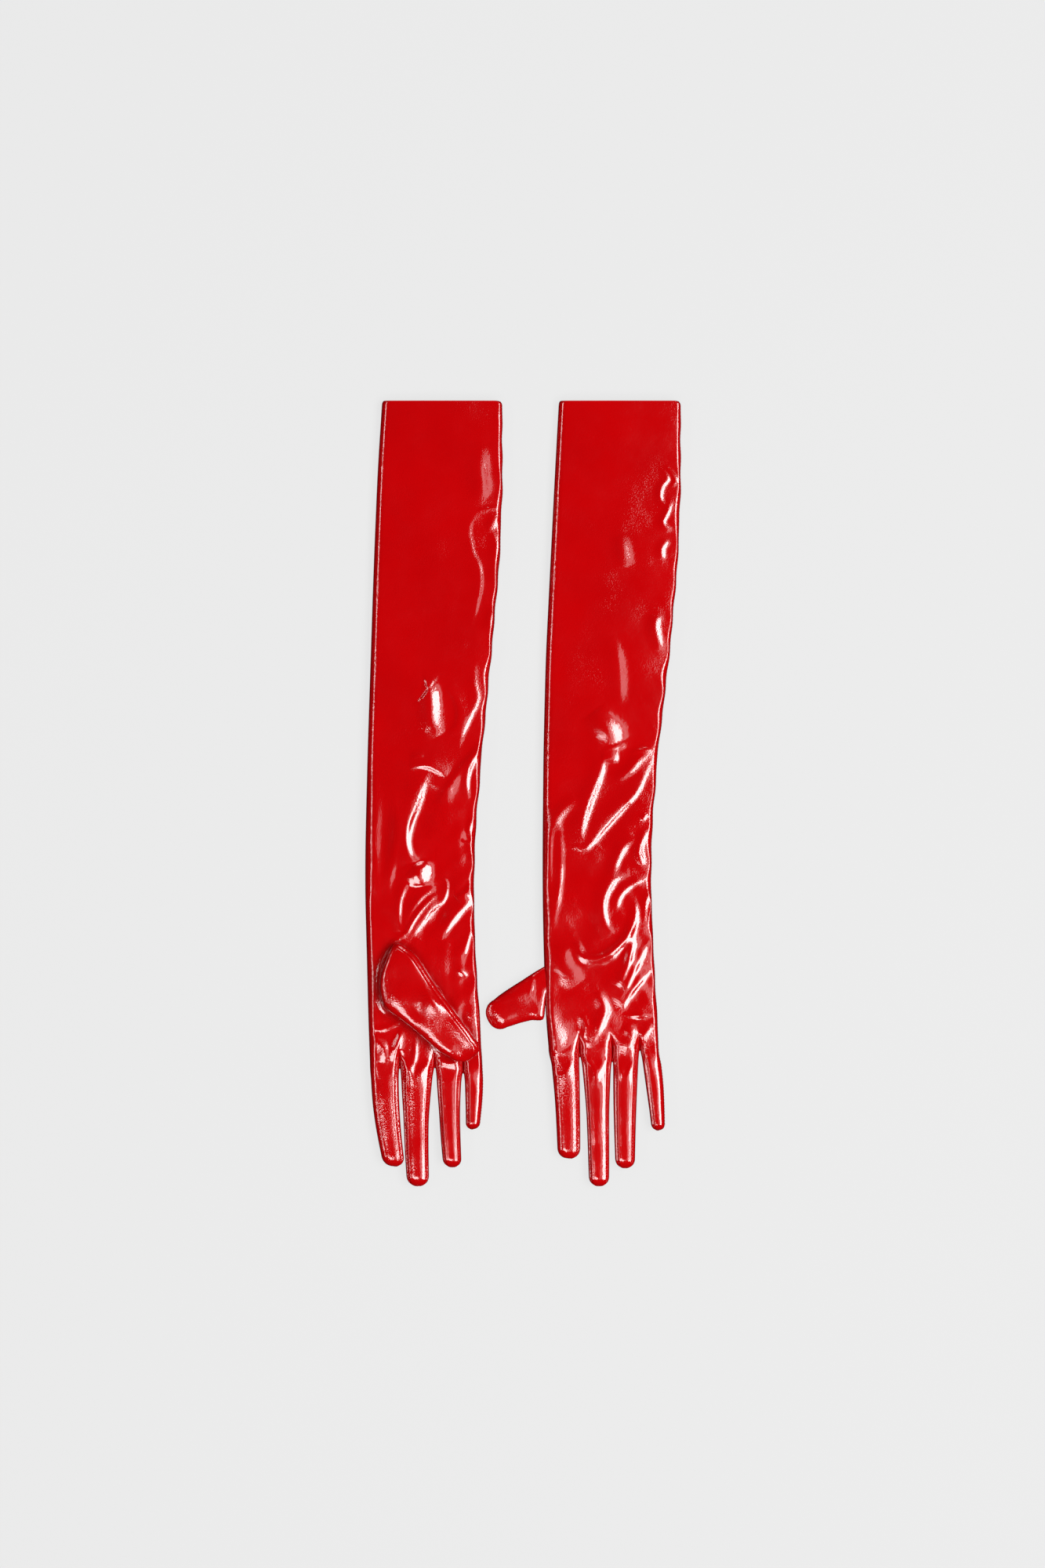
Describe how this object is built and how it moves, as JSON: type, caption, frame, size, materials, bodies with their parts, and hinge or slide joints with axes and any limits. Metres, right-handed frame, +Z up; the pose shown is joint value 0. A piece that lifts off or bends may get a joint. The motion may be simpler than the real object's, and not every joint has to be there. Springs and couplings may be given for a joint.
{
  "type": "opera gloves",
  "caption": "Pair of long glossy patent-leather opera gloves lying flat, one palm up and one back up, with fingers, thumbs, wrists and elbows that bend.",
  "frame": {"origin": "centre of the pair on the surface that it lies on", "axes": "+Y from the fingertips to the cuffs, +X from the right-hand glove to the left-hand glove, +Z up off the surface"},
  "size_m": [0.2345, 0.58, 0.0244],
  "materials": {
    "patent_leather": "high-gloss lacquered leather, bright red, faint grain",
    "lining_fabric": "fine matte knitted lining, dark red",
    "sewing_thread": "twisted sewing thread, red",
    "label_ribbon": "blank woven ribbon, off-white"
  },
  "bodies": {
    "right_upper_arm": {"right_trank_upper_arm": "patent_leather", "right_cuff_hem": "patent_leather", "right_lining_upper_arm": "lining_fabric", "right_size_label": "label_ribbon", "right_side_seam_upper_arm": "sewing_thread"},
    "right_forearm": {"right_trank_forearm": "patent_leather", "right_lining_forearm": "lining_fabric", "right_side_seam_forearm": "sewing_thread"},
    "right_hand": {"right_trank_hand": "patent_leather", "right_quirks": "patent_leather", "right_side_seam_hand": "sewing_thread"},
    "right_index": {"right_index_palm_face": "patent_leather", "right_index_back_face": "patent_leather", "right_index_fourchette": "patent_leather", "right_index_stitching": "sewing_thread"},
    "right_middle": {"right_middle_palm_face": "patent_leather", "right_middle_back_face": "patent_leather", "right_middle_fourchettes": "patent_leather", "right_middle_stitching": "sewing_thread"},
    "right_ring": {"right_ring_palm_face": "patent_leather", "right_ring_back_face": "patent_leather", "right_ring_fourchettes": "patent_leather", "right_ring_stitching": "sewing_thread"},
    "right_little": {"right_little_palm_face": "patent_leather", "right_little_back_face": "patent_leather", "right_little_fourchette": "patent_leather", "right_little_stitching": "sewing_thread"},
    "right_thumb": {"right_thumb_palm_face": "patent_leather", "right_thumb_back_face": "patent_leather", "right_thumb_stitching": "sewing_thread"},
    "left_upper_arm": {"left_trank_upper_arm": "patent_leather", "left_cuff_hem": "patent_leather", "left_lining_upper_arm": "lining_fabric", "left_size_label": "label_ribbon", "left_side_seam_upper_arm": "sewing_thread"},
    "left_forearm": {"left_trank_forearm": "patent_leather", "left_lining_forearm": "lining_fabric", "left_side_seam_forearm": "sewing_thread"},
    "left_hand": {"left_trank_hand": "patent_leather", "left_quirks": "patent_leather", "left_side_seam_hand": "sewing_thread"},
    "left_index": {"left_index_palm_face": "patent_leather", "left_index_back_face": "patent_leather", "left_index_fourchette": "patent_leather", "left_index_stitching": "sewing_thread"},
    "left_middle": {"left_middle_palm_face": "patent_leather", "left_middle_back_face": "patent_leather", "left_middle_fourchettes": "patent_leather", "left_middle_stitching": "sewing_thread"},
    "left_ring": {"left_ring_palm_face": "patent_leather", "left_ring_back_face": "patent_leather", "left_ring_fourchettes": "patent_leather", "left_ring_stitching": "sewing_thread"},
    "left_little": {"left_little_palm_face": "patent_leather", "left_little_back_face": "patent_leather", "left_little_fourchette": "patent_leather", "left_little_stitching": "sewing_thread"},
    "left_thumb": {"left_thumb_palm_face": "patent_leather", "left_thumb_back_face": "patent_leather", "left_thumb_stitching": "sewing_thread"}
  },
  "joints": [
    {"name": "left_glove_slide", "type": "slide", "parent": "right_forearm", "child": "left_forearm", "axis": [1, 0, 0], "range_m": [0, 0.3]},
    {"name": "right_elbow", "type": "hinge", "parent": "right_forearm", "child": "right_upper_arm", "pos_m": [-0.063, 0.19, 0.012], "axis": [1, 0, 0], "range_deg": [0, 110]},
    {"name": "right_wrist", "type": "hinge", "parent": "right_forearm", "child": "right_hand", "pos_m": [-0.0768, -0.07, 0.006], "axis": [-1, 0, 0], "range_deg": [-50, 50]},
    {"name": "right_index_curl", "type": "hinge", "parent": "right_hand", "child": "right_index", "pos_m": [-0.1026, -0.199, 0.012], "axis": [-1, 0, 0], "range_deg": [0, 80]},
    {"name": "right_middle_curl", "type": "hinge", "parent": "right_hand", "child": "right_middle", "pos_m": [-0.0786, -0.199, 0.012], "axis": [-1, 0, 0], "range_deg": [0, 80]},
    {"name": "right_ring_curl", "type": "hinge", "parent": "right_hand", "child": "right_ring", "pos_m": [-0.0551, -0.199, 0.012], "axis": [-1, 0, 0], "range_deg": [0, 80]},
    {"name": "right_little_curl", "type": "hinge", "parent": "right_hand", "child": "right_little", "pos_m": [-0.0373, -0.199, 0.012], "axis": [-1, 0, 0], "range_deg": [0, 80]},
    {"name": "right_thumb_swing", "type": "hinge", "parent": "right_hand", "child": "right_thumb", "pos_m": [-0.1075, -0.135, 0.01215], "axis": [0, -1, 0], "range_deg": [0, 100]},
    {"name": "left_elbow", "type": "hinge", "parent": "left_forearm", "child": "left_upper_arm", "pos_m": [0.068, 0.19, 0], "axis": [-1, 0, 0], "range_deg": [0, 110]},
    {"name": "left_wrist", "type": "hinge", "parent": "left_forearm", "child": "left_hand", "pos_m": [0.0542, -0.07, 0.006], "axis": [1, 0, 0], "range_deg": [-50, 50]},
    {"name": "left_index_curl", "type": "hinge", "parent": "left_hand", "child": "left_index", "pos_m": [0.03, -0.187, 0], "axis": [1, 0, 0], "range_deg": [0, 80]},
    {"name": "left_middle_curl", "type": "hinge", "parent": "left_hand", "child": "left_middle", "pos_m": [0.0534, -0.187, 0], "axis": [1, 0, 0], "range_deg": [0, 80]},
    {"name": "left_ring_curl", "type": "hinge", "parent": "left_hand", "child": "left_ring", "pos_m": [0.0757, -0.187, 0], "axis": [1, 0, 0], "range_deg": [0, 80]},
    {"name": "left_little_curl", "type": "hinge", "parent": "left_hand", "child": "left_little", "pos_m": [0.0929, -0.187, 0], "axis": [1, 0, 0], "range_deg": [0, 80]},
    {"name": "left_thumb_swing", "type": "hinge", "parent": "left_hand", "child": "left_thumb", "pos_m": [0.0145, -0.15, 0], "axis": [0, -1, 0], "range_deg": [0, 160]}
  ]
}
